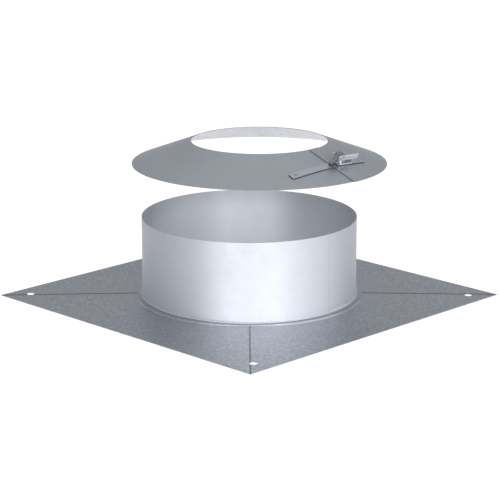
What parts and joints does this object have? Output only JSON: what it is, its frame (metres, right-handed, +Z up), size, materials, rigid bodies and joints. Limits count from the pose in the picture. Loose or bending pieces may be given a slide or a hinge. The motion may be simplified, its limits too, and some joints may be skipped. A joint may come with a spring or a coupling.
{
  "type": "flue flashing with storm collar",
  "caption": "Square flat-roof flashing with a raised round upstand and, above it, a split conical storm collar that a toggle latch closes on the flue.",
  "frame": {"origin": "centre of the square base plate, on the roof plane under its edges", "axes": "+Z up along the upstand's axis, X and Y along the base plate's sides; the collar's seam faces +X"},
  "size_m": [0.5, 0.5, 0.231],
  "materials": {
    "plate_sheet": "fine brushed sheet",
    "upstand_sheet": "smooth rolled sheet",
    "collar_sheet": "fine brushed sheet",
    "strap_steel": "bright strip",
    "latch_steel": "bright pressed sheet",
    "rivet_steel": "bright",
    "hook_steel": "bright pressed strip"
  },
  "bodies": {
    "base": {"base_plate": "plate_sheet", "upstand": "upstand_sheet"},
    "collar": {"collar_cone": "collar_sheet", "keeper_strap": "strap_steel", "keeper_rivet": "rivet_steel", "latch_strap": "strap_steel", "latch_strap_rivet": "rivet_steel", "latch_bracket": "latch_steel", "bracket_rivets": "rivet_steel", "hinge_rivets": "rivet_steel"},
    "lever": {"lever": "latch_steel", "draw_pin": "rivet_steel"},
    "hook": {"draw_hook": "hook_steel"}
  },
  "joints": [
    {"name": "collar_slide", "type": "slide", "parent": "base", "child": "collar", "axis": [0, 0, 1], "range_m": [-0.077, 0.15]},
    {"name": "lever_hinge", "type": "hinge", "parent": "collar", "child": "lever", "pos_m": [0.15174, 0.0166, 0.22525], "axis": [0.9388, -0.0034, -0.3446], "range_deg": [0, 150]},
    {"name": "hook_turn", "type": "hinge", "parent": "lever", "child": "hook", "pos_m": [0.15216, 0.02201, 0.22634], "axis": [0.9388, -0.0034, -0.3446], "range_deg": [-150, 0]}
  ],
  "couplings": [
    {"joint": "hook_turn", "follows": "lever_hinge", "ratio": -1}
  ]
}
